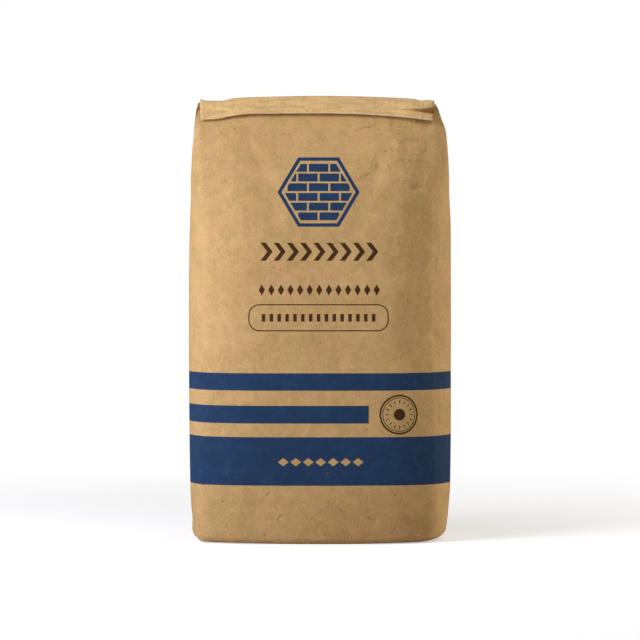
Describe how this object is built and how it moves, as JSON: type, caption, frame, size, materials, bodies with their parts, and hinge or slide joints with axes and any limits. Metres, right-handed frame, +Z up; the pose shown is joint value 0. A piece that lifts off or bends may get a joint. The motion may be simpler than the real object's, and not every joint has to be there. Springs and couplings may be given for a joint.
{
  "type": "cement bag",
  "caption": "Filled paper sack of cement standing upright on its base, with tucked side gussets and its mouth folded over to the front.",
  "frame": {"origin": "centre of the flat base, on the surface that the bag stands on", "axes": "+Z up along the height, towards the folded mouth; the printed front with the flap faces -Y; +X is to the right seen from the front"},
  "size_m": [0.386, 0.17, 0.65],
  "materials": {
    "kraft_paper": "matt unbleached kraft paper with printed navy bands"
  },
  "bodies": {
    "root": {"paper_sack": "kraft_paper"}
  },
  "joints": []
}
